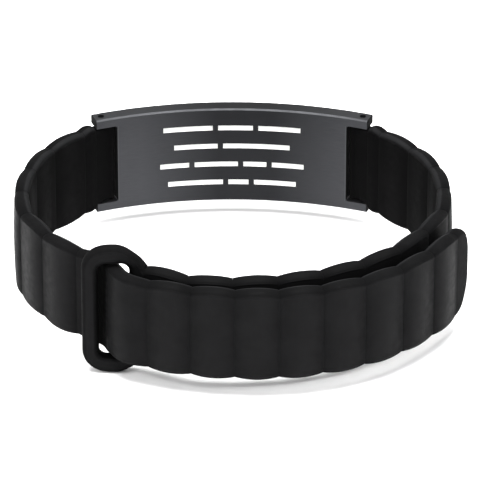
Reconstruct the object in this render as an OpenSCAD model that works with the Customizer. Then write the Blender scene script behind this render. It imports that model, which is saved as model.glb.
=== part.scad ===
// Medical alert bracelet: a curved steel plate pinned to two ribbed silicone straps.
// The long strap runs inside the bar of the other strap's end ring, out through its slot
// and back over the outside of that strap.
// The wrist passes along Z, the plate is at +Y and the clasp at -Y.
// The origin is the middle of the footprint, on the surface the bracelet lies on.

/* [Plate] */
// Straight distance between the plate's ends, along the middle of its wall
plate_chord = 45.6; // [42:0.2:50]
// Width of the plate, along the wrist
plate_w = 17.4; // [16.6:0.2:20]
// Thickness of the plate
plate_t = 2.7; // [2.2:0.1:3.2]
// Radius of the plate's inner face
plate_r = 61; // [48:1:90]
// Bevel along the plate's long edges
plate_bevel = 0.25; // [0.1:0.05:0.4]
// Depth of the notch at each end of the plate
notch_depth = 3.6; // [3.2:0.1:4.4]
// Height of each of the two lugs beside a notch
lug_h = 1.6; // [1.3:0.1:2]
// Radius of the notch's inner corners
notch_round = 0.4; // [0.2:0.1:0.8]

/* [Markings] */
// Depth of the engraved marks
mark_depth = 0.2; // [0.15:0.05:0.3]
// Width of an engraved stroke
mark_line = 0.46; // [0.3:0.02:0.6]
// Distance between the ruled lines on the inner face
rule_step_in = 3.42; // [2.4:0.02:3.8]
// Distance between the ruled lines on the outer face
rule_step_out = 3; // [2.2:0.1:3.6]
// Longest ruled line
rule_len = 24; // [16:0.5:26]
// Height of a ruled line
rule_h = 0.9; // [0.4:0.05:1.4]
// Gap between two bars of a ruled line
bar_gap = 0.9; // [0.5:0.1:1.5]
// Height of the health sign on the outer face
sign_h = 10.4; // [7:0.2:13]
// Width of one arm of the health sign
sign_arm = 3.9; // [2.8:0.1:5]
// Distance of the health sign from the plate's middle
sign_x = 13.4; // [12:0.1:15]
// Distance of the outer ruled lines from the plate's middle
rule_x = 4.9; // [3:0.1:6]

/* [Pins] */
// Diameter of a spring pin
pin_d = 1; // [0.8:0.05:1.2]
// Radial play of a pin in its holes
pin_play = 0.05; // [0.02:0.01:0.1]
// Distance from a pin's middle to the plate's end
pin_inset = 1.25; // [1:0.05:1.5]
// How far the pin's ends lie below the plate's long edges
pin_sink = 0.5; // [0.2:0.1:0.9]

/* [Straps] */
// How far a strap's valleys lie inside the plate's long edges
strap_inset = 1.05; // [0.6:0.05:1.5]
// Thickness of a strap in the valleys
strap_t = 2.3; // [2:0.1:2.6]
// Distance from rib to rib
rib_pitch = 6.9; // [5.5:0.1:9]
// How far a rib stands out of each face
rib_rise = 0.32; // [0.1:0.02:0.36]
// How far a rib stands out of each long edge
rib_flare = 0.45; // [0.1:0.02:0.6]
// Rounding of a strap's long edges
edge_round = 0.9; // [0.5:0.1:1.2]
// How much thinner a strap's tongue is than the strap
tongue_thin = 0.2; // [0.1:0.05:0.4]
// Gap between a strap's tongue and the notch that it sits in
tongue_gap = 0.25; // [0.15:0.05:0.4]
// Rounding of the tongue's end
tongue_round = 0.5; // [0.3:0.1:0.8]
// Distance from the plate's end to the strap's shoulder
shoulder_gap = 0.7; // [0.5:0.05:1]
// Distance from a pin to the first valley
first_valley = 4.9; // [4:0.1:6]
// Distance from the slot's middle to the first valley of the overlap
first_lap = 7.8; // [7.4:0.1:9.6]

/* [Loop] */
// Inner width of the closed bracelet
inner_w = 65.2; // [60:0.2:76]
// Inner depth of the closed bracelet, from the plate to the clasp side
inner_d = 53.4; // [48:0.2:60]
// Fullness of the bracelet's plate side, 2 is an ellipse
fullness = 2.3; // [2.1:0.05:2.6]
// Clear space between the two layers at the clasp
layer_gap = 0.3; // [0.2:0.1:0.8]
// Length of the round tip at the free end
tip_len = 5; // [3:0.5:7]

/* [End ring] */
// Width of the ring's free bar
bar_w = 2.7; // [2.2:0.1:3.4]
// Length of the ring's slot, along the strap
slot_len = 4.9; // [4.6:0.1:5.6]
// Length of the ring's neck, from the slot to the strap
neck_len = 2.8; // [2.4:0.1:4]
// Width of the ring's arm on each side of the slot
arm_w = 3.05; // [2.4:0.05:3.6]
// Play on each side of a rib inside the slot
slot_play = 0.35; // [0.2:0.05:0.6]
// Clear space between the ring's bar and the strap that passes it
slot_gap = 0.35; // [0.2:0.05:0.6]
// Thickness of the ring
ring_t = 2.3; // [2:0.1:2.6]
// Thickness of the ring and the strap's tip at their edges, as a share of that in their middle
edge_share = 0.93; // [0.8:0.01:0.95]
// How far the ring lies inside the line of the strap
ring_inset = 4.6; // [4:0.1:5.2]
// Distance of the slot's middle from the middle of the clasp side
slot_x = 18.6; // [17:0.1:20]

/* [Hidden] */
$fn = 96;

// width of a strap in the valleys between its ribs
strap_w = plate_w - 2 * strap_inset;

// the closed loop
half_a = inner_w / 2 + strap_t / 2;
half_b = inner_d / 2 + strap_t / 2;
layer = strap_t + 2 * rib_rise + layer_gap;

// the plate's arc
plate_ro = plate_r + plate_t;
plate_rm = plate_r + plate_t / 2;
arc_y = inner_d / 2 - plate_r;
end_a = asin(plate_chord / 2 / plate_rm);
notch_h = plate_w - 2 * lug_h;
tongue_w = notch_h - 2 * tongue_gap;
pin_a = end_a - pin_inset / plate_rm * 180 / PI;
pin_x = plate_rm * sin(pin_a);
pin_y = arc_y + plate_rm * cos(pin_a);
tongue_back = notch_depth - pin_inset - tongue_gap;
back_a = pin_a - tongue_back / plate_rm * 180 / PI;

// the ring
slot_h = strap_w + 2 * rib_flare + 2 * slot_play;
ring_h = slot_h + 2 * arm_w;
ring_len = bar_w + slot_len + neck_len;
ring_y = ring_inset - half_b;
bar_x = -slot_x - slot_len / 2;
neck_x = -slot_x + slot_len / 2;
neck_drop = neck_len * 0.09;

// the loop's line at parameter angle a: an ellipse towards the clasp, fuller towards the plate
function pw(v, e) = sign(v) * pow(abs(v), e);
function oval(a) =
    let (e = sin(a) > 0 ? 2 / fullness : 1)
    [half_a * pw(cos(a), e), half_b * pw(sin(a), e)];
function unit(v) = v / norm(v);
function out_dir(a) =
    let (d = oval(a + 0.5) - oval(a - 0.5))
    unit([d[1], -d[0]]);
// a point that lies k layers outside that line
function lifted(a, k) = oval(a) + out_dir(a) * k * layer;

// Route of the loop strap: pin, right side, clasp side, ring.
// Columns: angle round the loop, layers outside the loop's line
UNDER = [
    [44, 0], [30, 0], [16, 0.1], [3, 0.15], [-10, 0.15], [-23, -0.04], [-36, -0.07],
    [-49, -0.1], [-62, -0.12], [-75, -0.15], [-88, -0.17], [-101, -0.2]
];
loop_route = concat(
    [[plate_rm * sin(back_a), arc_y + plate_rm * cos(back_a)], [pin_x, pin_y]],
    [for (r = UNDER) lifted(r[0], r[1])],
    [[neck_x + neck_len, ring_y - neck_drop], [neck_x, ring_y], [-slot_x, ring_y], [bar_x - bar_w, ring_y]]
);

// Route of the long strap.
// Columns: angle round the loop, layers outside the loop's line
SIDE = [
    [136, 0], [150, 0], [164, 0], [177, 0.05], [190, 0.02], [203, -0.18], [216, -0.24]
];
// the part that lies over the loop strap and springs away from it
TAIL = [
    [-114, 0.65], [-101, 0.8], [-88, 1], [-75, 1.2], [-62, 1.33], [-49, 1.4], [-36, 1.36], [-24, 1.36], [-13, 1.36]
];
pass = ring_t / 2 + strap_t / 2 + slot_gap;
long_route = concat(
    [[-plate_rm * sin(back_a), arc_y + plate_rm * cos(back_a)], [-pin_x, pin_y]],
    [for (r = SIDE) lifted(r[0], r[1])],
    [[-slot_x - slot_len / 3, ring_y + pass], [-slot_x, ring_y], [-slot_x + slot_len / 3, ring_y - pass]],
    [for (r = TAIL) lifted(r[0], r[1])]
);
slot_knot = 2 + len(SIDE) + 1;

// smooth line through a route's points, STEPS pieces between two of them
STEPS = 8;
function ends(p) = concat([2 * p[0] - p[1]], p, [2 * p[len(p) - 1] - p[len(p) - 2]]);
function between(a, b, c, d, t) =
    0.5 * (2 * b + (c - a) * t + (2 * a - 5 * b + 4 * c - d) * t * t + (3 * b - a - 3 * c + d) * t * t * t);
function smooth(p) =
    let (q = ends(p))
    concat(
        [for (i = [1:len(q) - 3], k = [0:STEPS - 1]) between(q[i - 1], q[i], q[i + 1], q[i + 2], k / STEPS)],
        [p[len(p) - 1]]
    );
// each point of a line with its distance along the line: [distance, x, y]
function measured(p) = [
    for (i = 0, s = 0; i < len(p); s = s + (i < len(p) - 1 ? norm(p[i + 1] - p[i]) : 0), i = i + 1)
        [s, p[i][0], p[i][1]]
];
function total(m) = m[len(m) - 1][0];
function at(m, s) =
    let (c = max(0, min(total(m), s)))
    [lookup(c, [for (r = m) [r[0], r[1]]]), lookup(c, [for (r = m) [r[0], r[2]]])];
reach = strap_t / 4;
function heading(m, s) =
    unit(at(m, min(total(m), s + reach)) - at(m, max(0, s - reach)));

loop_line = measured(smooth(loop_route));
long_line = measured(smooth(long_route));
pin_s = loop_line[STEPS][0];
shoulder_s = pin_s + pin_inset + shoulder_gap;
loop_end = total(loop_line);
slot_s = long_line[slot_knot * STEPS][0];
long_end = total(long_line);

// Valleys of each strap: whole ribs between the marks.
// Columns: distance, number of ribs up to there
valley_s = pin_s + first_valley;
neck_end = loop_end - ring_len;
loop_ribs = round((neck_end - valley_s) / rib_pitch);
LOOP_MARKS = [
    [valley_s - rib_pitch, -1], [valley_s, 0], [neck_end, loop_ribs]
];
bar_s = slot_s - slot_len - bar_w - slot_gap / 2;
lap_s = slot_s + first_lap;
side_ribs = round((bar_s - valley_s) / rib_pitch);
lap_ribs = ceil((long_end - lap_s) / rib_pitch);
LONG_MARKS = [
    [valley_s - rib_pitch, -1], [valley_s, 0], [bar_s, side_ribs], [lap_s, side_ribs + 2],
    [lap_s + lap_ribs * rib_pitch, side_ribs + 2 + lap_ribs]
];
function swapped(marks) = [for (r = marks) [r[1], r[0]]];

// height of a rib at f of its length, 0 in a valley and 1 on its crown
function rib(f) = pow(abs(sin(180 * f)), 0.75);
// 0 to 1 over a rounded end of length r
function round_in(d, r) = d >= r ? 1 : sqrt(max(0, 1 - pow(1 - d / r, 2)));

// Stations along a strap.
// Columns: distance, slot's half height, half width, half thickness in the middle and at the edge
function strap_row(s, f, taper) =
    let (h = strap_t / 2)
    [s, 0, (strap_w / 2 + rib_flare * f) * taper, h + rib_rise * f, h + rib_rise * f * 0.4];
RIB_STEPS = [0, 0.12, 0.3, 0.5, 0.7, 0.88];
least = rib_pitch * 0.04;
// a pair that stands for no pair
no_pair = -9;
// share of a rib at f of rib k, where the ribs pair and pair + 1 are one long rib
function share_of(k, f, pair) = k == pair ? f / 2 : k == pair + 1 ? (1 + f) / 2 : f;
function rib_rows(from, to, marks, pair) = [
    for (k = [marks[0][1]:marks[len(marks) - 1][1] - 1], f = RIB_STEPS)
        let (s = lookup(k + f, swapped(marks)))
        if (s > from + least && s < to - least) strap_row(s, rib(share_of(k, f, pair)), 1)
];
shoulder_rows = [
    strap_row(shoulder_s, 0.2, 0.93),
    strap_row(shoulder_s + edge_round * 0.28, 0.4, 1)
];

// half height of the ring at distance u from its free end
left_z = ring_h * 0.32;
crown_u = ring_len * 0.5;
function ring_z(u) =
    u < crown_u
    ? left_z + (ring_h / 2 - left_z) * pow(max(0, 1 - pow(1 - u / crown_u, 2.6)), 0.5)
    : strap_w / 2 + (ring_h - strap_w) / 2 * pow(max(0, cos(90 * (u - crown_u) / (ring_len - crown_u))), 0.8);
// half height of the slot at distance d from its nearer end
slot_corner = slot_len * 0.37;
function slot_z(d) = slot_h / 2 * pow(max(0, 1 - pow(max(0, 1 - d / slot_corner), 7)), 0.22);
function ring_row(u, zi) =
    let (h = ring_t / 2 * (0.4 + 0.6 * round_in(u, edge_round)))
    [loop_end - u, zi, ring_z(u), h, h * edge_share];
// stations over the free end's rim, as shares of the bar's width
RIM_SHARES = [0, 0.07, 0.18, 0.33];
// stations over an end of the slot, as shares of its corner's length
SLOT_SHARES = [0.07, 0.22, 0.44, 0.72, 1];
ring_rows = [
    for (u = [ring_len, ring_len * 0.93, ring_len * 0.84]) ring_row(u, 0),
    ring_row(bar_w + slot_len, 0),
    for (k = SLOT_SHARES) ring_row(bar_w + slot_len - slot_corner * k, slot_z(slot_corner * k)),
    ring_row(bar_w + slot_len / 2, slot_h / 2),
    for (k = turned(SLOT_SHARES, true)) ring_row(bar_w + slot_corner * k, slot_z(slot_corner * k)),
    ring_row(bar_w, 0),
    for (k = turned(RIM_SHARES, true)) ring_row(bar_w * k, 0)
];

loop_rows = concat(shoulder_rows, rib_rows(shoulder_s + edge_round * 0.33, neck_end, LOOP_MARKS, no_pair), ring_rows);
// the round tip: the strap narrows over its last stretch
function tip_row(d) =
    let (k = sqrt(max(0.001, 1 - pow(1 - d / tip_len, 2))))
    let (h = strap_t / 2 * (0.45 + 0.55 * round_in(d, edge_round)))
    [long_end - d, 0, strap_w / 2 * (0.25 + 0.75 * k), h, h * edge_share];
tip_rows = [for (f = [1, 0.75, 0.5, 0.3, 0.16, 0.06, 0]) tip_row(tip_len * f)];
// the rib that passes the slot is a long one
long_rows = concat(
    shoulder_rows, rib_rows(shoulder_s + edge_round * 0.33, long_end - tip_len, LONG_MARKS, side_ribs), tip_rows
);

// half of a strap's section: from its middle line over the edge and back
function half_section(r) =
    let (zi = r[1], zo = r[2], hc = r[3], he = r[4], c = min(edge_round, (zo - zi) * 0.4))
    let (zm = (zi + zo - c) / 2)
    [
        [zi, hc], [zm, (3 * hc + he) / 4], [zo - c, he], [zo - c * 0.3, he * 0.82], [zo, he * 0.36],
        [zo, -he * 0.36], [zo - c * 0.3, -he * 0.82], [zo - c, -he], [zm, -(3 * hc + he) / 4], [zi, -hc]
    ];
HALF = len(half_section([0, 0, strap_w / 2, strap_t / 2, strap_t / 2]));

// points of a strap: for each station the upper half, then the lower one
function body_points(rows, line, side) = [
    for (r = rows)
        let (p = at(line, r[0]), t = heading(line, r[0]), n = [t[1], -t[0]] * side, q = half_section(r))
        for (up = [1, -1], v = q)
            [p[0] + n[0] * v[1], p[1] + n[1] * v[1], up * v[0]]
];
// number of a point: where there is no slot both halves share their middle points
function nr(rows, i, half, j) =
    let (shared = rows[i][1] == 0 && (j == 0 || j == HALF - 1))
    i * 2 * HALF + (half == 1 && !shared ? HALF : 0) + j;
function quad(a, b, c, d, flip) = flip ? [[a, c, b], [a, d, c]] : [[a, b, c], [a, c, d]];
function skin(rows, side) = [
    for (i = [0:len(rows) - 2], half = [0, 1], j = [0:HALF - 2])
        let (f = (half == 0) == (side < 0))
        for (t = quad(nr(rows, i, half, j), nr(rows, i, half, j + 1),
                      nr(rows, i + 1, half, j + 1), nr(rows, i + 1, half, j), f)) t
];
function slot_walls(rows, side) = [
    for (i = [0:len(rows) - 2], half = [0, 1])
        if (rows[i][1] > 0 || rows[i + 1][1] > 0)
            let (f = (half == 0) == (side < 0))
            for (t = quad(nr(rows, i, half, HALF - 1), nr(rows, i, half, 0),
                          nr(rows, i + 1, half, 0), nr(rows, i + 1, half, HALF - 1), f)) t
];
function rim_ids(rows, i) = concat(
    [for (j = [0:HALF - 1]) nr(rows, i, 0, j)],
    [for (j = [HALF - 2:-1:1]) nr(rows, i, 1, j)]
);
function turned(v, yes) = yes ? [for (i = [len(v) - 1:-1:0]) v[i]] : v;
module strap_body(rows, line, side) {
    polyhedron(
        points = body_points(rows, line, side),
        faces = concat(
            skin(rows, side),
            slot_walls(rows, side),
            [turned(rim_ids(rows, 0), side > 0)],
            [turned(rim_ids(rows, len(rows) - 1), side < 0)]
        ),
        convexity = 10
    );
}

// direction across a line at distance s
function across(line, s) = let (t = heading(line, s)) [t[1], -t[0]];
// a flat shape of half thickness h along a line
module ribbon(line, from, to, h) {
    stops = [for (f = [0:0.25:1]) from + (to - from) * f];
    polygon(concat(
        [for (s = stops) at(line, s) + across(line, s) * h],
        [for (i = [len(stops) - 1:-1:0]) at(line, stops[i]) - across(line, stops[i]) * h]
    ));
}

// the strap's tongue: it follows the line from the notch to just inside the shoulder
module tongue(line) {
    h = (strap_t - tongue_thin) / 2;
    r = tongue_round;
    linear_extrude(height = tongue_w, center = true) {
        ribbon(line, 0, r * 1.2, h - r);
        ribbon(line, r, shoulder_s + edge_round, h);
        for (side = [-1, 1])
            translate(at(line, r) + side * across(line, r) * (h - r))
                circle(r = r);
    }
}

// what the bracelet covers, to put the origin in the middle of its footprint
loop_cloud = body_points(loop_rows, loop_line, -1);
long_cloud = body_points(long_rows, long_line, 1);
cloud_x = [for (p = concat(loop_cloud, long_cloud)) p[0]];
cloud_y = [for (p = concat(loop_cloud, long_cloud)) p[1]];
mid_x = (min(cloud_x) + max(cloud_x)) / 2;
mid_y = (min(cloud_y) + inner_d / 2 + plate_t) / 2;
rest_h = max(ring_h, plate_w, strap_w + 2 * rib_flare) / 2;
module placed() {
    translate([-mid_x, -mid_y, rest_h])
        children();
}

module pin_hole(side) {
    translate([side * pin_x, pin_y, 0])
        cylinder(h = plate_w + 2, r = pin_d / 2 + pin_play, center = true);
}

module strap(rows, line, side) {
    difference() {
        union() {
            strap_body(rows, line, -side);
            tongue(line);
        }
        pin_hole(side);
    }
}

// the plate's curved wall with bevelled long edges
module plate_wall() {
    b = plate_bevel;
    w = plate_w / 2;
    translate([0, arc_y, 0])
        rotate([0, 0, 90 - end_a])
            rotate_extrude(angle = 2 * end_a, $fn = 360)
                polygon([
                    [plate_r + b, -w], [plate_ro - b, -w], [plate_ro, b - w], [plate_ro, w - b],
                    [plate_ro - b, w], [plate_r + b, w], [plate_r, w - b], [plate_r, b - w]
                ]);
}

// the notch that takes a strap's tongue, with rounded inner corners
module notch(side) {
    r = notch_round;
    translate([0, arc_y, 0])
        rotate([0, 0, -side * end_a])
            translate([0, plate_ro + 1, 0])
                rotate([90, 0, 0])
                    linear_extrude(height = plate_t + 2)
                        scale([side, 1]) {
                            translate([-notch_depth, r - notch_h / 2])
                                square([notch_depth * 2, notch_h - 2 * r]);
                            translate([r - notch_depth, -notch_h / 2])
                                square([notch_depth * 2 - r, notch_h]);
                            for (z = [-1, 1])
                                translate([r - notch_depth, z * (notch_h / 2 - r)])
                                    circle(r = r);
                        }
}

// Ruled lines, from the top one down: each bar's share of the longest line
RULES_IN = [[0.34, 0.24, 0.29], [0.3, 0.46], [0.2, 0.3, 0.16, 0.22], [0.38, 0.14, 0.29]];
RULES_OUT = [[0.3, 0.37], [0.25, 0.3, 0.22], [0.46, 0.3], [0.3, 0.2, 0.24, 0.16]];
function sum_to(v, n) = n <= 0 ? 0 : v[n - 1] + sum_to(v, n - 1);
module ruled(rows, step, x) {
    for (i = [0:len(rows) - 1]) {
        n = len(rows[i]);
        half = (sum_to(rows[i], n) * rule_len + (n - 1) * bar_gap) / 2;
        for (k = [0:n - 1])
            translate([x - half + sum_to(rows[i], k) * rule_len + k * bar_gap,
                       ((len(rows) - 1) / 2 - i) * step - rule_h / 2])
                square([rows[i][k] * rule_len, rule_h]);
    }
}

// a plain outlined cross with a pulse line in it
module cross_area(arm, len) {
    square([len, arm], center = true);
    square([arm, len], center = true);
}
PULSE = [[-0.4, 0], [-0.14, 0], [-0.05, 0.24], [0.05, -0.24], [0.13, 0], [0.4, 0]];
// half a stroke's width across a path at its point i, longer at a corner so that both sides stay straight
function stroke_side(p, i, half) =
    let (
        d0 = p[max(i, 1)] - p[max(i, 1) - 1],
        d1 = p[min(i, len(p) - 2) + 1] - p[min(i, len(p) - 2)],
        n0 = [-d0[1], d0[0]] / norm(d0),
        n1 = [-d1[1], d1[0]] / norm(d1)
    )
    (n0 + n1) / (1 + n0 * n1) * half;
module pulse_line() {
    p = [for (r = PULSE) r * sign_h];
    n = len(p) - 1;
    polygon(concat(
        [for (i = [0:n]) p[i] + stroke_side(p, i, mark_line / 2)],
        [for (i = [n:-1:0]) p[i] - stroke_side(p, i, mark_line / 2)]
    ));
}
module cross_outline() {
    difference() {
        cross_area(sign_arm, sign_h);
        cross_area(sign_arm - 2 * mark_line, sign_h - 2 * mark_line);
    }
}

// a thin curved layer of the plate at one of its faces
module face_layer(lo, hi) {
    translate([0, arc_y, 0])
        difference() {
            cylinder(h = plate_w, r = hi, center = true, $fn = 360);
            cylinder(h = plate_w + 2, r = lo, center = true, $fn = 360);
        }
}
module inner_marks() {
    intersection() {
        translate([0, inner_d / 2 + plate_t, 0])
            rotate([90, 0, 0])
                linear_extrude(height = plate_t + plate_chord / 4)
                    ruled(RULES_IN, rule_step_in, 0);
        face_layer(plate_r - 1, plate_r + mark_depth);
    }
}
module outer_marks() {
    intersection() {
        translate([0, inner_d / 2 + plate_t + 1, 0])
            rotate([90, 0, 0]) {
                linear_extrude(height = plate_t + plate_chord / 4) {
                    ruled(RULES_OUT, rule_step_out, -rule_x);
                    translate([sign_x, 0])
                        cross_outline();
                }
                // by itself, because the exact solid loses an island inside an outline
                linear_extrude(height = plate_t + plate_chord / 4)
                    translate([sign_x, 0])
                        pulse_line();
            }
        face_layer(plate_ro - mark_depth, plate_ro + 1);
    }
}

module id_plate() {
    color([0.29, 0.3, 0.32])
        placed()
            difference() {
                plate_wall();
                notch(1);
                notch(-1);
                pin_hole(1);
                pin_hole(-1);
                inner_marks();
                outer_marks();
            }
}

module pin(side) {
    color([0.5, 0.5, 0.52])
        placed()
            translate([side * pin_x, pin_y, 0])
                cylinder(h = plate_w - 2 * pin_sink, d = pin_d, center = true);
}
module pin_left() {
    pin(-1);
}
module pin_right() {
    pin(1);
}

module long_strap() {
    color([0.12, 0.12, 0.13])
        placed()
            strap(long_rows, long_line, -1);
}

module loop_strap() {
    color([0.12, 0.12, 0.13])
        placed()
            strap(loop_rows, loop_line, 1);
}

id_plate();
pin_left();
pin_right();
long_strap();
loop_strap();
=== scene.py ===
"""Looks of a medical alert bracelet: a dark steel plate, two pins and two ribbed silicone straps.

The straps are surfaces worked out from the same sizes as the solids that they stand for.
All lengths are in metres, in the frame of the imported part.
"""

import math

import bmesh
import bpy
import numpy as np
from bpy.props import FloatProperty, FloatVectorProperty, PointerProperty
from bpy.types import Operator, Panel, PropertyGroup
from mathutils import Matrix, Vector


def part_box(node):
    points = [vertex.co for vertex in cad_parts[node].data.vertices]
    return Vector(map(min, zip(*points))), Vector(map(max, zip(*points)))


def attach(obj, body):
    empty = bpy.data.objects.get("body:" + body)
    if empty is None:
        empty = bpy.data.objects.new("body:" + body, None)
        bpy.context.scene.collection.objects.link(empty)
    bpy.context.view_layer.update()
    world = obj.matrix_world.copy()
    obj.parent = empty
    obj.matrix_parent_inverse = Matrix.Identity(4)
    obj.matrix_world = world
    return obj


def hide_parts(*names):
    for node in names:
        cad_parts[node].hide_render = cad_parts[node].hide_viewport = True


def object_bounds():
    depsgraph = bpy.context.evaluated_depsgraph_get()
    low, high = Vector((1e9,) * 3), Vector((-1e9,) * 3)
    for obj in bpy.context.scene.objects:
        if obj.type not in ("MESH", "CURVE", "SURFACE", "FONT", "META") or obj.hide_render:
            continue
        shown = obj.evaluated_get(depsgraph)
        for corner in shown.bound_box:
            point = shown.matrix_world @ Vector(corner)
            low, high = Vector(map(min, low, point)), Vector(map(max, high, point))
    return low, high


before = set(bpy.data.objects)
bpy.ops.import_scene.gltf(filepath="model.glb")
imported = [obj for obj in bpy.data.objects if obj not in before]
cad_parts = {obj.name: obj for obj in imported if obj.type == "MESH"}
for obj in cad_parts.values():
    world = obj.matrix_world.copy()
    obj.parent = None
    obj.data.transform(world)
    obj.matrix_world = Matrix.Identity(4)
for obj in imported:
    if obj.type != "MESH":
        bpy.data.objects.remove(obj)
CAD_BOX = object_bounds()

bl_info = {
    "name": "Medical alert bracelet",
    "version": (1, 0, 0),
    "blender": (4, 5, 0),
    "location": "View3D > Sidebar > Bracelet",
    "description": "Steel plate and ribbed silicone straps of a medical alert bracelet",
    "category": "Object",
}

MM = 0.001


def number(name, description, default, **kind):
    """A number, with its unit or subtype and its limits as kind."""
    return FloatProperty(name=name, description=description, default=default, **kind)


def length(name, description, default_mm):
    """A length whose default is given in millimetres."""
    return number(
        name, description, default_mm * MM, min=0.0, precision=5, subtype="DISTANCE", unit="LENGTH"
    )


def share(name, description, default):
    """A plain number between 0 and 1."""
    return number(name, description, default, min=0.0, max=1.0, subtype="FACTOR")


def tint(name, description, default):
    """A linear colour."""
    return FloatVectorProperty(
        name=name, description=description, default=default, min=0.0, max=1.0, size=3, subtype="COLOR"
    )


class PlateSizes(PropertyGroup):
    """Sizes of the steel plate and its pins."""

    chord: length("Chord", "From end to end, in the middle of the wall", 45.6)
    width: length("Width", "Width of the plate along the wrist", 17.4)
    wall: length("Wall", "Thickness of the plate", 2.7)
    radius: length("Inner radius", "Radius of the plate's inner face", 61.0)
    bevel: length("Bevel", "Bevel along the plate's long edges", 0.25)
    notch_depth: length("Notch depth", "Depth of the notch at each end", 3.6)
    lug: length("Lug", "Height of a lug beside a notch", 1.6)
    mark_depth: length("Mark depth", "Depth of the engraved marks", 0.2)
    pin_d: length("Pin", "Diameter of a pin", 1.0)
    pin_play: length("Pin play", "Radial play of a pin in its holes", 0.05)
    pin_inset: length("Pin inset", "From a pin's middle to the plate's end", 1.25)


class StrapSizes(PropertyGroup):
    """Sizes of the ribbed straps and of the closed loop."""

    inset: length("Strap inset", "From the plate's long edges in to a strap's valleys", 1.05)
    thickness: length("Thickness", "Thickness of a strap in the valleys", 2.3)
    pitch: length("Rib pitch", "Distance from rib to rib", 6.9)
    rise: length("Rib rise", "How far a rib stands out of each face", 0.32)
    flare: length("Rib flare", "How far a rib stands out of each long edge", 0.45)
    edge: length("Edge rounding", "Rounding of the long edges", 0.9)
    tongue_thin: length("Tongue thinning", "How much thinner the tongue is than the strap", 0.2)
    tongue_gap: length("Tongue gap", "Gap between the tongue and its notch", 0.25)
    tongue_round: length("Tongue rounding", "Rounding of the tongue's end", 0.5)
    shoulder_gap: length("Shoulder gap", "From the plate's end to the strap's shoulder", 0.7)
    first_valley: length("First valley", "From a pin to the first valley", 4.9)
    first_lap: length("First lap valley", "From the slot's middle to the overlap's first valley", 7.8)
    inner_w: length("Inner width", "Inner width of the closed loop", 65.2)
    inner_d: length("Inner depth", "Inner depth of the closed loop", 53.4)
    layer_gap: length("Layer gap", "Clear space between the two layers at the clasp", 0.3)
    tip_len: length("Tip", "Length of the round tip at the free end", 5.0)
    fullness: number(
        "Fullness", "Fullness of the loop's plate side, where 2 is an ellipse", 2.3, min=2.0, max=3.0
    )


class RingSizes(PropertyGroup):
    """Sizes of the flat end ring."""

    bar: length("Bar", "Width of the ring's free bar", 2.7)
    slot_len: length("Slot length", "Length of the slot along the strap", 4.9)
    neck: length("Neck", "Length from the slot to the strap", 2.8)
    arm: length("Arm", "Width of the arm on each side of the slot", 3.05)
    slot_play: length("Slot play", "Play on each side of a rib inside the slot", 0.35)
    slot_gap: length("Slot gap", "Clear space between the bar and the strap in the slot", 0.35)
    slot_round: length("Slot corner", "Radius of the slot's corners", 1.3)
    thickness: length("Thickness", "Thickness of the ring", 2.3)
    inset: length("Inset", "How far the ring lies inside the line of the strap", 4.6)
    slot_x: length("Slot place", "From the clasp side's middle to the slot's", 18.6)
    edge_share: share("Edge share", "Thickness at the edges over that in the middle", 0.93)


class Finishes(PropertyGroup):
    """Colours and gloss."""

    silicone: tint("Silicone", "Colour of the straps", (0.0038, 0.0038, 0.004))
    # Lighter colour of the clouds and flecks, and of the rims, where it is partly wear and partly a
    # painted highlight
    silicone_wear_and_highlight: tint("Silicone worn", "Colour of rubbed rims and of flecks", (0.0088, 0.0089, 0.0094))
    silicone_deep: tint("Silicone valleys", "Colour of the dull valleys", (0.0042, 0.0042, 0.0044))
    # Painted shade: the colour that the shade value mixes in on the skin's side, along the rims, behind
    # the ring, under the overlap and round the slot
    silicone_painted_shade: tint("Silicone shade", "Colour on the skin's side and in creases", (0.0006,) * 3)
    rib_relief: length("Rib relief", "Extra shading relief of the ribs", 0.5)
    silicone_rough: share("Silicone roughness", "Roughness of the straps", 0.5)
    steel: tint("Steel", "Colour of the coated plate", (0.038, 0.0388, 0.042))
    steel_shade: tint("Steel shade", "Colour of the plate's darker grain", (0.031, 0.0317, 0.0343))
    # Painted shade: the plate is coloured darker towards its middle
    steel_middle_shade: tint("Steel middle", "Colour of the coat's darker middle", (0.0118, 0.0121, 0.0132))
    # Lighter colour of the rubbed bevels, and of the painted highlight along each notch
    steel_edge_wear_and_highlight: tint("Steel edges", "Colour of the plate's rubbed edges", (0.046, 0.047, 0.05))
    # Painted shade on the plate's end faces and its notches' walls
    steel_end_shade: tint("Cut faces", "Colour of the plate's sawn ends", (0.002, 0.002, 0.0022))
    steel_rough: share("Steel roughness", "Roughness of the plate", 0.36)
    paint: tint("Paint", "Colour that fills the engraved marks", (0.86, 0.86, 0.84))
    paint_thin: tint("Thin paint", "Colour of the paint where it is thin", (0.7, 0.7, 0.69))
    pin: tint("Pins", "Colour of the pins", (0.04, 0.04, 0.043))


class StageSettings(PropertyGroup):
    """Camera, floor and lights."""

    azimuth: number("Azimuth", "Direction the camera looks from", 0.0, unit="ROTATION")
    elevation: number("Elevation", "The camera's height as an angle", math.radians(30.0), unit="ROTATION")
    distance: length("Distance", "From the camera to the bracelet", 880.0)
    lens: number("Lens", "Focal length in millimetres", 408.0, unit="CAMERA")
    floor: tint("Floor", "Colour of the floor", (0.98, 0.98, 0.98))
    world: tint("Surroundings", "Colour of the light from all round", (1.0, 1.0, 1.0))
    world_strength: number("Surroundings strength", "Strength of that light", 0.8)
    key_power: number("Key light", "Power of the light on the left", 5.3, unit="POWER")
    fill_power: number("Fill light", "Power of the light on the right", 4.8, unit="POWER")
    top_power: number("Top light", "Power of the light overhead", 27.0, unit="POWER")


# Lines and the places that both straps share


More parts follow.
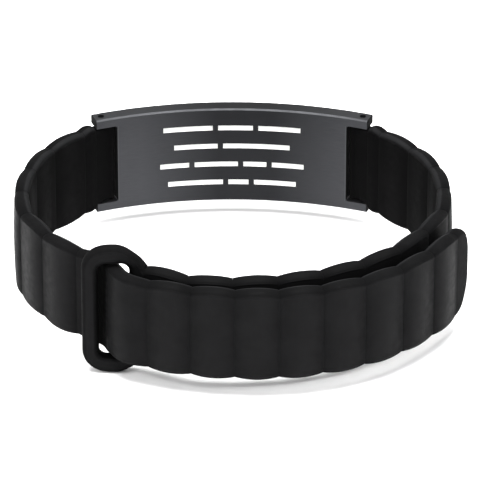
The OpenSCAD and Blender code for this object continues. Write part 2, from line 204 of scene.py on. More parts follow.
class Line:
    """A smooth flat line with distances along it: Catmull-Rom pieces through the given points."""

    STEPS = 16

    def __init__(self, points, reach):
        p = np.asarray(points, float)
        q = np.vstack([2 * p[0] - p[1], p, 2 * p[-1] - p[-2]])
        t = (np.arange(self.STEPS) / self.STEPS)[None, :, None]
        a, b, c, d = (q[k : len(q) - 3 + k, None] for k in range(4))
        piece = 0.5 * (
            2 * b + (c - a) * t + (2 * a - 5 * b + 4 * c - d) * t**2 + (3 * b - a - 3 * c + d) * t**3
        )
        self.points = np.vstack([piece.reshape(-1, 2), p[-1:]])
        gaps = np.linalg.norm(np.diff(self.points, axis=0), axis=1)
        self.s = np.concatenate([[0.0], np.cumsum(gaps)])
        self.end = self.s[-1]
        self.reach = reach

    def knot(self, number):
        """Distance of a given point of the route."""
        return self.s[number * self.STEPS]

    def at(self, s):
        """Points at the distances s."""
        return np.stack([np.interp(s, self.s, self.points[:, k]) for k in (0, 1)], -1)

    def heading(self, s):
        """Unit direction of the line at the distances s."""
        d = self.at(np.minimum(self.end, s + self.reach)) - self.at(np.maximum(0.0, s - self.reach))
        return d / np.linalg.norm(d, axis=-1, keepdims=True)

    def across(self, s):
        """Unit direction across the line at the distances s."""
        t = self.heading(s)
        return np.stack([t[..., 1], -t[..., 0]], -1)


# Route of the loop strap. Columns: angle round the loop, layers outside the loop's line
UNDER = [
    (44, 0), (30, 0), (16, 0.1), (3, 0.15), (-10, 0.15), (-23, -0.04), (-36, -0.07),
    (-49, -0.1), (-62, -0.12), (-75, -0.15), (-88, -0.17), (-101, -0.2),
]  # fmt: skip
# Route of the long strap up to the ring, and of its part that lies over the loop strap
SIDE = [(136, 0), (150, 0), (164, 0), (177, 0.05), (190, 0.02), (203, -0.18), (216, -0.24)]
TAIL = [
    (-114, 0.65), (-101, 0.8), (-88, 1), (-75, 1.2), (-62, 1.33),
    (-49, 1.4), (-36, 1.36), (-24, 1.36), (-13, 1.36),
]  # fmt: skip
# Both routes start with the tongue's end and the pin: the numbers of the pin's point and of the next
PIN_POINT, FIRST_POINT = 1, 2
# How far the ring's neck leans out of the loop, as a share of its length
NECK_LEAN = 0.09
# Two ribs make one long rib where the strap passes the slot
RIBS_AT_SLOT = 2


class Layout:
    """What the two straps share: the loop's line, the pins' places and both routes."""

    def __init__(self, plate, strap, ring):
        self.plate, self.strap, self.ring = plate, strap, ring
        self.strap_w = plate.width - 2 * strap.inset
        self.half_a = strap.inner_w / 2 + strap.thickness / 2
        self.half_b = strap.inner_d / 2 + strap.thickness / 2
        self.layer = strap.thickness + 2 * strap.rise + strap.layer_gap
        middle_r = plate.radius + plate.wall / 2
        arc_y = strap.inner_d / 2 - plate.radius
        end_a = math.asin(plate.chord / 2 / middle_r)
        pin_a = end_a - plate.pin_inset / middle_r
        back_a = pin_a - (plate.notch_depth - plate.pin_inset - strap.tongue_gap) / middle_r
        self.pin_xy, back = (
            np.array([middle_r * math.sin(a), arc_y + middle_r * math.cos(a)]) for a in (pin_a, back_a)
        )
        self.tongue_w = plate.width - 2 * plate.lug - 2 * strap.tongue_gap
        self.slot_h = self.strap_w + 2 * strap.flare + 2 * ring.slot_play
        self.ring_h = self.slot_h + 2 * ring.arm
        self.ring_len = ring.bar + ring.slot_len + ring.neck
        self.reach = strap.thickness / 4

        ring_y = ring.inset - self.half_b
        neck_x, bar_x = -ring.slot_x + ring.slot_len / 2, -ring.slot_x - ring.slot_len / 2
        along_ring = [
            (neck_x + ring.neck, ring_y - ring.neck * NECK_LEAN),
            (neck_x, ring_y),
            (-ring.slot_x, ring_y),
            (bar_x - ring.bar, ring_y),
        ]
        self.loop_line = Line(
            [back, self.pin_xy] + [self.lifted(a, k) for a, k in UNDER] + along_ring, self.reach
        )
        mirror = np.array([-1.0, 1.0])
        step_off = ring.thickness / 2 + strap.thickness / 2 + ring.slot_gap
        third = ring.slot_len / 3
        through_slot = [
            (-ring.slot_x - third, ring_y + step_off),
            (-ring.slot_x, ring_y),
            (-ring.slot_x + third, ring_y - step_off),
        ]
        self.long_line = Line(
            [back * mirror, self.pin_xy * mirror]
            + [self.lifted(a, k) for a, k in SIDE]
            + through_slot
            + [self.lifted(a, k) for a, k in TAIL],
            self.reach,
        )
        pin_s = self.loop_line.knot(PIN_POINT)
        self.shoulder_s = pin_s + plate.pin_inset + strap.shoulder_gap
        valley_s = pin_s + strap.first_valley
        self.neck_s = self.loop_line.end - self.ring_len
        loop_ribs = round((self.neck_s - valley_s) / strap.pitch)
        # marks: the distance of a valley and its number
        self.loop_marks = np.array([(valley_s - strap.pitch, -1), (valley_s, 0), (self.neck_s, loop_ribs)])
        slot_s = self.slot_s = self.long_line.knot(FIRST_POINT + len(SIDE) + 1)
        bar_s = slot_s - ring.slot_len - ring.bar - ring.slot_gap / 2
        lap_s = slot_s + strap.first_lap
        side_ribs = round((bar_s - valley_s) / strap.pitch)
        lap_ribs = math.ceil((self.long_line.end - lap_s) / strap.pitch)
        self.slot_rib = side_ribs
        self.long_marks = np.array(
            [
                (valley_s - strap.pitch, -1),
                (valley_s, 0),
                (bar_s, side_ribs),
                (lap_s, side_ribs + RIBS_AT_SLOT),
                (lap_s + lap_ribs * strap.pitch, side_ribs + RIBS_AT_SLOT + lap_ribs),
            ]
        )
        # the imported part's place: its left pin stands at the long strap's pin point
        low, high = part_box("pin_left")
        centre = (low + high) / 2
        self.shift = np.array([centre.x + self.pin_xy[0], centre.y - self.pin_xy[1], centre.z])

    def oval(self, degrees):
        """The loop's line: an ellipse towards the clasp, a fuller one towards the plate."""
        a = math.radians(degrees)
        e = 2 / self.strap.fullness if math.sin(a) > 0 else 1.0
        c, s = math.cos(a), math.sin(a)
        return np.array(
            [self.half_a * math.copysign(abs(c) ** e, c), self.half_b * math.copysign(abs(s) ** e, s)]
        )

    def lifted(self, degrees, layers):
        """A point that lies so many layers outside the loop's line."""
        d = self.oval(degrees + 0.5) - self.oval(degrees - 0.5)
        return self.oval(degrees) + np.array([d[1], -d[0]]) / np.linalg.norm(d) * layers * self.layer

    def placed(self, line, s, out, z):
        """Points at distance s along a line, out across it and z above its middle, in the part's frame."""
        flat = line.at(s) + line.across(s) * np.asarray(out)[..., None]
        return np.concatenate([flat, np.asarray(z)[..., None]], -1) + self.shift


# Surfaces


def rounded(d, r, power=2.4):
    """Share of the full thickness at distance d from an edge rounded over r: a superellipse quarter."""
    return (1 - np.clip(1 - d / r, 0, 1) ** power) ** (1 / power)


def eased(t):
    """0 to 1 with level ends."""
    t = np.clip(t, 0, 1)
    return t * t * (3 - 2 * t)


# Points nearer than this are merged, and edges shorter than this are taken out
MERGE, SLIVER = 1e-6, 1e-7


class Sheets:
    """Collects grids of points as one mesh.

    Each point has a height on its rib, a nearness to a rim and an amount of painted shade, all from 0 to
    1.
    """

    def __init__(self):
        self.points, self.faces, self.count = [], [], 0
        self.values = {"rib": [], "rim": [], "shade": []}

    def grid(self, points, rib, rim, shade, closed=False):
        """Adds a grid of points as quads, which may be closed in both directions."""
        rows, cols = points.shape[:2]
        ids = np.arange(rows * cols).reshape(rows, cols) + self.count
        i = np.arange(rows if closed else rows - 1)[:, None]
        j = np.arange(cols if closed else cols - 1)[None, :]
        k, m = (i + 1) % rows, (j + 1) % cols
        self.faces.append(np.stack([ids[i, j], ids[k, j], ids[k, m], ids[i, m]], -1).reshape(-1, 4))
        self.points.append(points.reshape(-1, 3))
        for name, values in (("rib", rib), ("rim", rim), ("shade", shade)):
            self.values[name].append(np.broadcast_to(values, (rows, cols)).ravel())
        self.count += rows * cols

    def piece(self, name, sharp_degrees=38.0):
        """The merged, outward-facing mesh as an object at the origin."""
        mesh = bpy.data.meshes.new(name)
        mesh.from_pydata(np.vstack(self.points).tolist(), [], np.vstack(self.faces).tolist())
        for label, values in self.values.items():
            layer = mesh.attributes.new(label, "FLOAT", "POINT")
            layer.data.foreach_set("value", np.concatenate(values).astype(np.float32))
        work = bmesh.new()
        work.from_mesh(mesh)
        bmesh.ops.remove_doubles(work, verts=work.verts, dist=MERGE)
        bmesh.ops.dissolve_degenerate(work, edges=work.edges, dist=SLIVER)
        bmesh.ops.recalc_face_normals(work, faces=work.faces)
        work.to_mesh(mesh)
        work.free()
        mesh.shade_smooth()
        mesh.set_sharp_from_angle(angle=math.radians(sharp_degrees))
        obj = bpy.data.objects.new(name, mesh)
        bpy.context.scene.collection.objects.link(obj)
        return obj


RIB_POWER = 0.75


def rib_height(s, marks, pair):
    """Height of the ribs at distance s: 0 in a valley, 1 on a crown, a power of a sine between.

    The ribs from number pair on, as many as pass the slot, are one long rib.
    """
    number = np.interp(s, marks[:, 0], marks[:, 1])
    number = number - np.clip(number - pair, 0, RIBS_AT_SLOT) / RIBS_AT_SLOT
    return np.abs(np.sin(np.pi * number)) ** RIB_POWER


def rib_stops(marks, per_rib=22):
    """Distances along a strap that crowd towards the valleys."""
    f = (1 - np.cos(np.pi * np.arange(per_rib) / per_rib)) / 2
    numbers = (np.arange(marks[0, 1], marks[-1, 1])[:, None] + f).ravel()
    return np.interp(numbers, marks[:, 1], marks[:, 0])


# Share of the solids' thickness that the finished straps keep, to stay inside them
INSIDE = 0.985
# Share of a rib's rise at the long edges
EDGE_RISE = 0.4


def strap_section(layout, s, widths, marks, fade, pair=np.inf):
    """Half thickness of a ribbed strap at distance s and at widths, a share of its half width.

    The face is crowned: its middle stands higher on a rib than its edge does. The edge is rounded.
    Returns the half thickness, the height z above the middle plane, the rib's height and the distance
    from the long edge.
    """
    strap = layout.strap
    f = (rib_height(s, marks, pair) * fade)[:, None]
    half_w = layout.strap_w / 2 + strap.flare * f
    middle = strap.thickness / 2 + strap.rise * f
    at_edge = strap.thickness / 2 + strap.rise * f * EDGE_RISE
    z = widths[None, :] * half_w
    inner = np.minimum(np.abs(z) / (half_w - strap.edge), 1)
    face = middle - (middle - at_edge) * inner**2
    d = half_w - np.abs(z)
    return face * INSIDE * rounded(d, strap.edge), z, f, d


def edge_stops(count, part):
    """Shares from 1 - part to 1 that crowd towards 1."""
    return 1 - part * (1 - np.sin(np.linspace(0, np.pi / 2, count)))


def both_sides(stops):
    """Stops from 0 to 1 mirrored to run from -1 to 1."""
    return np.concatenate([-stops[:0:-1], stops])


# Painted shade on the skin's side, which faces into the loop, and along the middle of the rims
SKIN_SHADE, RIM_SHADE = 0.65, 0.4
# Nearness to a rim at which a face's shade has faded out
FACE_END = 0.6


def face_shade(rim, is_skin):
    """Painted shade over a face: dark on the skin's side, half dark along the rim's middle, light between
    them.
    """
    if is_skin:
        return SKIN_SHADE * (1 - eased(rim / FACE_END)) + RIM_SHADE * eased((rim - 0.96) / 0.04)
    return RIM_SHADE * eased((rim - 0.05) / 0.4)


def strap_body(sheets, layout, line, s, section, rim_d, skin_side, crease_shade, cover_shade):
    """Adds the two faces of a strap, which meet in its edges.

    section holds the half thickness, the height and the rib's height, and rim_d the distance from the rim.
    crease paints shade on both faces at a station, cover paints shade only on the face away from the skin.
    At the blunt end the outermost points fall on their neighbours, which leaves no flat corner.
    """
    h, z, f = section
    z[0, [0, -1]] = z[0, [1, -2]]
    rim = 1 - np.clip(rim_d / layout.strap.edge, 0, 1)
    for side in (1, -1):
        points = layout.placed(line, s[:, None], side * h, z)
        shade = np.maximum(face_shade(rim, side == skin_side), crease_shade[:, None])
        if side != skin_side:
            shade = np.maximum(shade, cover_shade[:, None] * (1 - eased(rim / FACE_END)))
        sheets.grid(points, f, rim, shade)


# Rounding of the tongue's flat sides, and chamfer of the pin's bore
TONGUE_CAP, BORE_CHAMFER = 0.3 * MM, 0.06 * MM
# The rib height whose finish the tongues and the ring take
TONGUE_RIB, RING_RIB = 0.5, 0.75


def tongue(sheets, layout, line, side):
    """Adds a strap's tongue: a flat loop of wall round the pin's bore, with rounded caps.

    Its outline runs along both faces of the strap's line from the notch to just past the shoulder.
    Each outline point is joined to the bore straight towards the pin's middle.
    """
    strap, plate = layout.strap, layout.plate
    r = strap.tongue_round
    h = (strap.thickness - strap.tongue_thin) / 2
    far = layout.shoulder_s + strap.edge
    s = np.linspace(r, far, 22)
    upper = line.at(s) + line.across(s) * h
    lower = line.at(s) - line.across(s) * h
    front = np.linspace(upper[-1], lower[-1], 8)[1:-1]
    start, n, t = line.at(r), line.across(np.array(r)), line.heading(np.array(r))
    turn = np.linspace(0, np.pi / 2, 9)[1:, None]
    low_corner = start - n * (h - r) - n * r * np.cos(turn) - t * r * np.sin(turn)
    high_corner = start + n * (h - r) - t * r * np.cos(turn) + n * r * np.sin(turn)
    outline = np.vstack([upper, front, lower[::-1], low_corner, high_corner[:-1]])
    pin = layout.pin_xy * np.array([side, 1.0])
    away = outline - pin
    reach = np.linalg.norm(away, axis=1)
    away = away / reach[:, None]

    w, cap, bore = layout.tongue_w / 2, TONGUE_CAP, plate.pin_d / 2 + plate.pin_play
    arc = np.linspace(0, np.pi / 2, 6)
    # Columns: share of the way to the bore, how far inside the outline, height
    top = [(0.0, cap * (1 - math.cos(a)), w - cap + cap * math.sin(a)) for a in arc]
    top += [(0.4, cap, w), (0.75, cap, w), (0.96, cap, w)]
    top += [(1.0, 0.0, w - BORE_CHAMFER), (1.0, 0.0, w / 3)]
    bottom = [(a, b, -z) for a, b, z in top[::-1]]
    wall = [(0.0, 0.0, z * w) for z in (-0.6, -0.2, 0.2, 0.6)]
    way, inset, z = np.array(top + bottom + wall).T
    radius = (1 - way) * (reach[:, None] - inset) + way * bore
    flat = pin + away[:, None] * radius[..., None]
    points = np.concatenate([flat, np.broadcast_to(z, radius.shape)[..., None]], -1) + layout.shift
    # The whole tongue carries the skin's painted shade
    sheets.grid(points, TONGUE_RIB, 0.0, SKIN_SHADE, closed=True)


def distance_to(points, outline):
    """Least distance from each point to a densely sampled outline."""
    flat = points.reshape(-1, 1, 2)
    return np.sqrt(((flat - outline[None]) ** 2).sum(-1).min(1)).reshape(points.shape[:-1])


def evenly(path, count):
    """A path's points at count even distances along it."""
    s = np.concatenate([[0.0], np.cumsum(np.linalg.norm(np.diff(path, axis=0), axis=1))])
    stops = np.linspace(0, s[-1], count)
    return np.stack([np.interp(stops, s, path[:, k]) for k in (0, 1)], -1)


def joined(paths, counts):
    """Even points along each path, laid end to end without repeating the ones they share."""
    runs = [evenly(path, count) for path, count in zip(paths, counts)]
    return np.vstack([runs[0]] + [run[1:] for run in runs[1:]])


# The ring is highest at this share of its length, and half its free end is this share of its height
CROWN_PLACE, END_HALF = 0.5, 0.32
# Powers of the superellipse at the free end and of the cosine at the strap
END_POWER, NECK_POWER = 2.6, 0.8
OUTLINE_STEPS, END_STEPS = 900, 60


def ring_outline(layout):
    """Upper half of the ring's outline, from the strap round to the free end's middle.

    Columns: distance from the free end, height. It rises in a superellipse and falls in a cosine.
    """
    crown_u = layout.ring_len * CROWN_PLACE
    end_z = layout.ring_h * END_HALF
    u = layout.ring_len * (1 + np.cos(np.linspace(0, np.pi, OUTLINE_STEPS))) / 2
    rise = end_z + (layout.ring_h / 2 - end_z) * (1 - np.clip(1 - u / crown_u, 0, 1) ** END_POWER) ** 0.5
    turn = np.pi / 2 * (u - crown_u) / (layout.ring_len - crown_u)
    fall = np.clip(np.cos(turn), 0, 1) ** NECK_POWER
    low = layout.strap_w / 2 + (layout.ring_h - layout.strap_w) / 2 * fall
    z = np.where(u < crown_u, rise, low)
    end = np.stack([np.zeros(END_STEPS), np.linspace(end_z, 0, END_STEPS)], -1)
    return np.vstack([np.stack([u, z], -1), end[1:]])


def cut(path, first, last):
    """The stretch of a path between its points nearest to first and last, ending exactly there."""
    i = int(np.argmin(((path - first) ** 2).sum(1)))
    j = int(np.argmin(((path - last) ** 2).sum(1)))
    return np.vstack([[first], path[i + 1 : j], [last]])


# Points across the ring's neck and its band, and along the band's four stretches
NECK_WIDTHS, BAND_WIDTHS = 13, 22
BAND_ROWS = (12, 16, 14, 16)
CORNER_STEPS = 40
# The neck takes this share of the strap's half width, the band the rest
SEAM_SHARE = 0.84
# Where the band's stretches part: slot roundings from the joint and from the slot's end
PART_NEAR, PART_FAR = -0.4, 0.8
# Side of the loop strap's line that the skin touches, the other one on the long strap
SKIN_OF_LOOP = 1
# The long strap covers the loop strap from this point of UNDER on, and painted shade lies on the loop
# strap there
COVER_POINT, COVER_SHADE, COVER_FADE = 4, 0.4, 3.0 * MM
# The painted shade round the slot ends this far from it, fading over this much
SLOT_SHADE, SLOT_FADE = 0.6 * MM, 0.45 * MM


def ring_widths():
    """Places across the seam between strap and ring, as shares of the half width."""
    inside = np.linspace(0, SEAM_SHARE, NECK_WIDTHS)
    band = (1 - np.cos(np.linspace(0, np.pi, BAND_WIDTHS))) / 2
    return np.concatenate([inside, SEAM_SHARE + (1 - SEAM_SHARE) * band[1:]])


def end_ring(sheets, layout):
    """Adds the flat ring as a block before the slot and a band round it.

    Every grid point lies between the slot's outline and the ring's outline. The thickness falls to
    nothing at both outlines, by the rounding of the distance to the nearer one.
    """
    ring, strap, line = layout.ring, layout.strap, layout.loop_line
    r, top, u0, u1 = ring.slot_round, layout.slot_h / 2, ring.bar, ring.bar + ring.slot_len
    turn = np.linspace(0, np.pi / 2, CORNER_STEPS)
    near = np.stack([u1 - r + r * np.cos(turn), top - r + r * np.sin(turn)], -1)
    far = np.stack([u0 + r - r * np.sin(turn), top - r + r * np.cos(turn)], -1)
    half = CORNER_STEPS // 2
    joint = near[half]
    seam_z = layout.strap_w / 2 * SEAM_SHARE
    outline = ring_outline(layout)

    def outer_at(u):
        return outline[int(np.argmin(np.abs(outline[:OUTLINE_STEPS, 0] - u)))]

    middle = OUTLINE_STEPS // 2
    beside = outline[int(np.argmin(np.abs(outline[middle:, 1] - (top - r)))) + middle]
    over_joint, over_far = outer_at(joint[0] + PART_NEAR * r), outer_at(u0 + PART_FAR * r)
    stops = [outline[0], over_joint, over_far, beside, outline[-1]]
    outer_edge = joined([cut(outline, a, b) for a, b in zip(stops, stops[1:])], BAND_ROWS)
    along_slot = [
        np.array([(layout.ring_len, seam_z), joint]),
        np.vstack([near[half:], far[:1]]),
        far,
        np.array([far[-1], (u0, 0.0)]),
    ]
    inner_edge = joined(along_slot, BAND_ROWS)
    slot_low = evenly(np.vstack([[(u1, 0.0)], near[: half + 1]]), NECK_WIDTHS)
    q = ((1 - np.cos(np.linspace(0, np.pi, BAND_WIDTHS))) / 2)[None, :, None]
    band = inner_edge[:, None] * (1 - q) + outer_edge[:, None] * q
    seam = np.stack([np.full(NECK_WIDTHS, layout.ring_len), np.linspace(0, seam_z, NECK_WIDTHS)], -1)
    b = np.linspace(0, 1, 12)[None, :, None]
    neck = seam[:, None] * (1 - b) + slot_low[:, None] * b

    near_side = evenly(np.array([(u1, 0.0), near[0]]), 120)
    far_side = evenly(np.array([far[-1], (u0, 0.0)]), 120)
    slot_line = evenly(np.vstack([near_side, near, far, far_side]), 700)
    outer_line = evenly(outline, 1200)
    section_h, _, _, section_d = strap_section(
        layout, np.array([layout.neck_s]), ring_widths(), layout.loop_marks, np.zeros(1)
    )
    for grid, is_band in ((neck, False), (band, True)):
        to_slot = distance_to(grid, slot_line)
        to_rim = distance_to(grid, outer_line)
        if is_band:
            to_slot[BAND_ROWS[0] - 1 :, 0] = 0
            to_rim[:, -1] = 0
        else:
            to_slot[:, -1] = 0
        d = np.minimum(to_slot, to_rim)
        u, z = grid[..., 0], grid[..., 1]
        spread = np.clip(z / (layout.ring_h / 2), 0, 1)
        h = ring.thickness / 2 * (1 - (1 - ring.edge_share) * spread**2) * rounded(d, strap.edge)
        if is_band:
            h[0], d[0] = section_h[0, NECK_WIDTHS - 1 :], section_d[0, NECK_WIDTHS - 1 :]
        else:
            h[:, 0], d[:, 0] = section_h[0, :NECK_WIDTHS], section_d[0, :NECK_WIDTHS]
        rim = 1 - np.clip(d / strap.edge, 0, 1)
        # Painted shade on the ring's wall round its slot
        slot_wall_shade = eased((SLOT_SHADE - to_slot) / SLOT_FADE)
        for side in (1, -1):
            shade = np.maximum(face_shade(rim, side == SKIN_OF_LOOP), slot_wall_shade)
            for up in (1, -1):
                points = layout.placed(line, line.end - u, side * h, up * z)
                sheets.grid(points, RING_RIB, rim, shade)


# The blunt end beside the plate: its rounding, its share of the width, and the way to the full width.
# Then its share of the first rib's height, and the way to the full height
SHOULDER_ROUND, SHOULDER_WIDTH, SHOULDER_WIDENS = 0.42 * MM, 0.93, 0.6 * MM
SHOULDER_RIB, RIB_GROWS = 0.2, 1.6 * MM
LEAST_STEP = 0.05 * MM


def stations(layout, marks, last, rest):
    """Distances along a strap: close ones at the shoulder, the ribs' stops up to last, and then rest."""
    begin = layout.shoulder_s + np.array([0.0, 0.02, 0.06, 0.12, 0.2, 0.3, 0.42, 0.6, 0.85]) * MM
    stops = rib_stops(marks)
    return np.concatenate([begin, stops[(stops > begin[-1] + LEAST_STEP) & (stops < last)], rest])


def shoulder_shape(layout, s):
    """Shares of the thickness, the width and the ribs' height at distance s, from the shoulder on."""
    d = s - layout.shoulder_s
    thick = rounded(d, SHOULDER_ROUND)
    wide = SHOULDER_WIDTH + (1 - SHOULDER_WIDTH) * rounded(d, SHOULDER_WIDENS)
    return thick, wide, SHOULDER_RIB + (1 - SHOULDER_RIB) * eased(d / RIB_GROWS)


def loop_strap_sheets(layout):
    """The strap from the plate's right end to the slotted ring."""
    sheets, line = Sheets(), layout.loop_line
    s = stations(layout, layout.loop_marks, layout.neck_s - 0.02 * MM, [layout.neck_s])
    thick, wide, fade = shoulder_shape(layout, s)
    h, z, f, d = strap_section(layout, s, both_sides(ring_widths()), layout.loop_marks, fade)
    section = (h * thick[:, None], z * wide[:, None], f)
    # Painted shade on the loop strap's outer face where the long strap lies over it
    cover_shade = COVER_SHADE * eased((s - line.knot(FIRST_POINT + COVER_POINT)) / COVER_FADE)
    strap_body(sheets, layout, line, s, section, d, SKIN_OF_LOOP, np.zeros(len(s)), cover_shade)
    tongue(sheets, layout, line, 1.0)
    end_ring(sheets, layout)
    return sheets


# The ribs end this far before the tip, and the tip's end keeps this share of the width
RIBS_END, TIP_END = 2.2 * MM, 0.25
TIP_STEPS, FACE_STEPS, RIM_STEPS = 34, 15, 12
# Painted shade on the strap where it passes behind the ring, before and after the slot's middle
CREASE_BEFORE, CREASE_AFTER = 4.6 * MM, 0.3 * MM


def long_strap_sheets(layout):
    """The strap from the plate's left end through the ring to its round tip."""
    sheets, line, strap = Sheets(), layout.long_line, layout.strap
    tip_s = line.end - strap.tip_len
    tip = line.end - strap.tip_len * (1 - np.sin(np.linspace(0, np.pi / 2, TIP_STEPS)))
    s = stations(layout, layout.long_marks, tip_s - LEAST_STEP, tip)
    thick, wide, fade = shoulder_shape(layout, s)
    fade = fade * (1 - eased((s - tip_s + RIBS_END) / RIBS_END))
    edge_part = strap.edge / (layout.strap_w / 2)
    face = np.linspace(0, 1 - edge_part, FACE_STEPS)[:-1]
    widths = both_sides(np.concatenate([face, edge_stops(RIM_STEPS, edge_part)]))
    h, z, f, d = strap_section(layout, s, widths, layout.long_marks, fade, layout.slot_rib)
    left = np.clip((line.end - s) / strap.tip_len, 0, 1)
    narrow = TIP_END + (1 - TIP_END) * np.sqrt(np.maximum(0.001, 1 - (1 - left) ** 2))
    z = z * (wide * narrow)[:, None]
    z[-1, [0, -1]] = z[-1, [1, -2]]
    # over the tip the rounding follows the outline's nearest point
    at_tip = s >= tip_s
    half = np.stack([line.end - s, layout.strap_w / 2 * narrow], -1)[at_tip]
    blunt = np.stack([np.zeros(40), np.linspace(half[-1][1], 0, 40)], -1)
    rim_line = evenly(np.vstack([half, blunt]), 1500)
    spot = np.stack([np.broadcast_to((line.end - s)[:, None], z.shape), np.abs(z)], -1)[at_tip]
    near = distance_to(spot, rim_line)
    near[:, 0] = near[:, -1] = near[-1] = 0
    blend = eased((s[at_tip] - tip_s) / MM)[:, None]
    d[at_tip] = d[at_tip] * (1 - blend) + near * blend
    d[-1] = 0
    h[at_tip] = strap.thickness / 2 * INSIDE * rounded(d[at_tip], strap.edge)
    # Painted shade where the strap passes behind the ring's bar and through the slot
    begins = eased((s - layout.slot_s + CREASE_BEFORE) / MM)
    ends = eased((layout.slot_s + CREASE_AFTER - s) / MM)
    section = (h * thick[:, None], z, f)
    strap_body(sheets, layout, line, s, section, d, -SKIN_OF_LOOP, begins * ends, np.zeros(len(s)))
    tongue(sheets, layout, line, -1.0)
    return sheets


# Finishes


class Nodes:
    """Short ways to write a material's nodes."""

    def __init__(self, name):
        self.material = bpy.data.materials.new(name)
        self.material.use_nodes = True
        self.tree = self.material.node_tree
        self.tree.nodes.clear()
        self.shader = self.tree.nodes.new("ShaderNodeBsdfPrincipled")
        out = self.tree.nodes.new("ShaderNodeOutputMaterial")
        self.tree.links.new(self.shader.outputs[0], out.inputs["Surface"])
        self.object = self.tree.nodes.new("ShaderNodeTexCoord").outputs["Object"]

    def put(self, socket, value):
        """Links a node's output to a socket, or sets a value on it."""
        if isinstance(value, bpy.types.NodeSocket):
            self.tree.links.new(value, socket)
        elif hasattr(value, "__len__") and len(value) == 3 and socket.type == "RGBA":
            socket.default_value = (*value, 1.0)
        else:
            socket.default_value = value

    def math(self, operation, a, b=0.0, clamp=False):
        """One step of arithmetic on one or two values."""
        node = self.tree.nodes.new("ShaderNodeMath")
        node.operation, node.use_clamp = operation, clamp
        for socket, value in zip(node.inputs, (a, b)):
            self.put(socket, value)
        return node.outputs[0]

    def times(self, product, *others):
        """The product of several values."""
        for other in others:
            product = self.math("MULTIPLY", product, other)
        return product

    def less(self, a, b):
        """1 where a is less than b, or else 0."""
        return self.math("LESS_THAN", a, b)

    def apart(self, a, b):
        """How far two values lie apart."""
        return self.math("ABSOLUTE", self.math("SUBTRACT", a, b))

    def noise(self, scale, detail, rough, stretch=(1.0, 1.0, 1.0)):
        """Noise on the object's own coordinates."""
        place = self.tree.nodes.new("ShaderNodeMapping")
        self.put(place.inputs["Vector"], self.object)
        self.put(place.inputs["Scale"], stretch)
        node = self.tree.nodes.new("ShaderNodeTexNoise")
        self.put(node.inputs["Vector"], place.outputs[0])
        self.put(node.inputs["Scale"], scale)
        self.put(node.inputs["Detail"], detail)
        self.put(node.inputs["Roughness"], rough)
        return node.outputs[0]

    def spread(self, value, low, high, out_low=0.0, out_high=1.0):
        """A value's stretch from low to high, spread over another."""
        node = self.tree.nodes.new("ShaderNodeMapRange")
        names = ("Value", "From Min", "From Max", "To Min", "To Max")
        for name, part in zip(names, (value, low, high, out_low, out_high)):
            self.put(node.inputs[name], part)
        return node.outputs[0]

    def mix(self, factor, a, b):
        """Colour a turning into colour b."""
        node = self.tree.nodes.new("ShaderNodeMix")
        node.data_type = "RGBA"
        self.put(node.inputs[0], factor)
        self.put(node.inputs[6], a)
        self.put(node.inputs[7], b)
        return node.outputs[2]

    def attribute(self, name):
        """A strap's own rib, rim or shade value."""
        node = self.tree.nodes.new("ShaderNodeAttribute")
        node.attribute_name = name
        return node.outputs["Fac"]

    def bump(self, height, strength, depth, below=None):
        """A relief of the given depth, laid over the one below."""
        node = self.tree.nodes.new("ShaderNodeBump")
        self.put(node.inputs["Height"], height)
        self.put(node.inputs["Strength"], strength)
        self.put(node.inputs["Distance"], depth)
        if below is not None:
            self.put(node.inputs["Normal"], below)
        return node.outputs[0]

    def give(self, **values):
        """Sets the shader's own sockets."""
        for name, value in values.items():
            self.put(self.shader.inputs[name.replace("_", " ")], value)


# Worn colour in the clouds, wear and a painted highlight on the rims, and roughness added in the valleys
# and in the shade
CLOUDED, RIM_WEAR_AND_HIGHLIGHT, DULL_VALLEY, DULL_SHADE = 0.22, 0.8, 0.42, 0.5
# Neither wear nor painted highlight shows on a rim where the shade times this reaches 1
RUB_FADE = 2.4


def silicone(looks):
    """Matt black silicone: cloudy colour, dull valleys, rubbed rims, flecks and a fine skin.

    The rims' lighter colour is partly wear and partly a painted highlight; the shade value is painted
    shade.
    """
    n = Nodes("matt_silicone")
    cloud = n.spread(n.noise(240.0, 4.0, 0.55), 0.36, 0.64)
    rib, rim = n.attribute("rib"), n.attribute("rim")
    colour = n.mix(n.spread(rib, 0.0, 0.45), looks.silicone_deep, looks.silicone)
    colour = n.mix(n.times(cloud, CLOUDED), colour, looks.silicone_wear_and_highlight)
    # Painted shade: the colour darkens towards the shade colour as far as the shade value says
    shade = n.attribute("shade")
    bared = n.math("SUBTRACT", 1.0, n.times(shade, RUB_FADE), clamp=True)
    # The rims lighten by wear and by a painted highlight, except where painted shade lies
    rubbed = n.times(n.spread(rim, 0.4, 0.8), RIM_WEAR_AND_HIGHLIGHT, bared)
    colour = n.mix(rubbed, colour, looks.silicone_wear_and_highlight)
    colour = n.mix(shade, colour, looks.silicone_painted_shade)
    flecks = n.spread(n.noise(2600.0, 2.0, 0.6), 0.68, 0.76, 0.0, 0.35)
    colour = n.mix(flecks, colour, looks.silicone_wear_and_highlight)
    base = looks.silicone_rough
    rough = n.spread(n.noise(900.0, 3.0, 0.6), 0.3, 0.7, base - 0.06, base + 0.08)
    rough = n.math("ADD", rough, n.spread(rib, 0.0, 1.0, DULL_VALLEY, 0.0))
    rough = n.math("ADD", rough, n.times(shade, DULL_SHADE), clamp=True)
    skin = n.bump(n.noise(9000.0, 2.0, 0.6), 0.22, 0.02 * MM)
    skin = n.bump(n.noise(520.0, 2.0, 0.5), 0.12, 0.06 * MM, skin)
    lit_rib = n.times(rib, n.math("SUBTRACT", 1.0, shade, clamp=True))
    skin = n.bump(lit_rib, 1.0, looks.rib_relief, skin)
    n.give(Base_Color=colour, Roughness=rough, Normal=skin, IOR=1.41, Specular_IOR_Level=0.055)
    return n.material


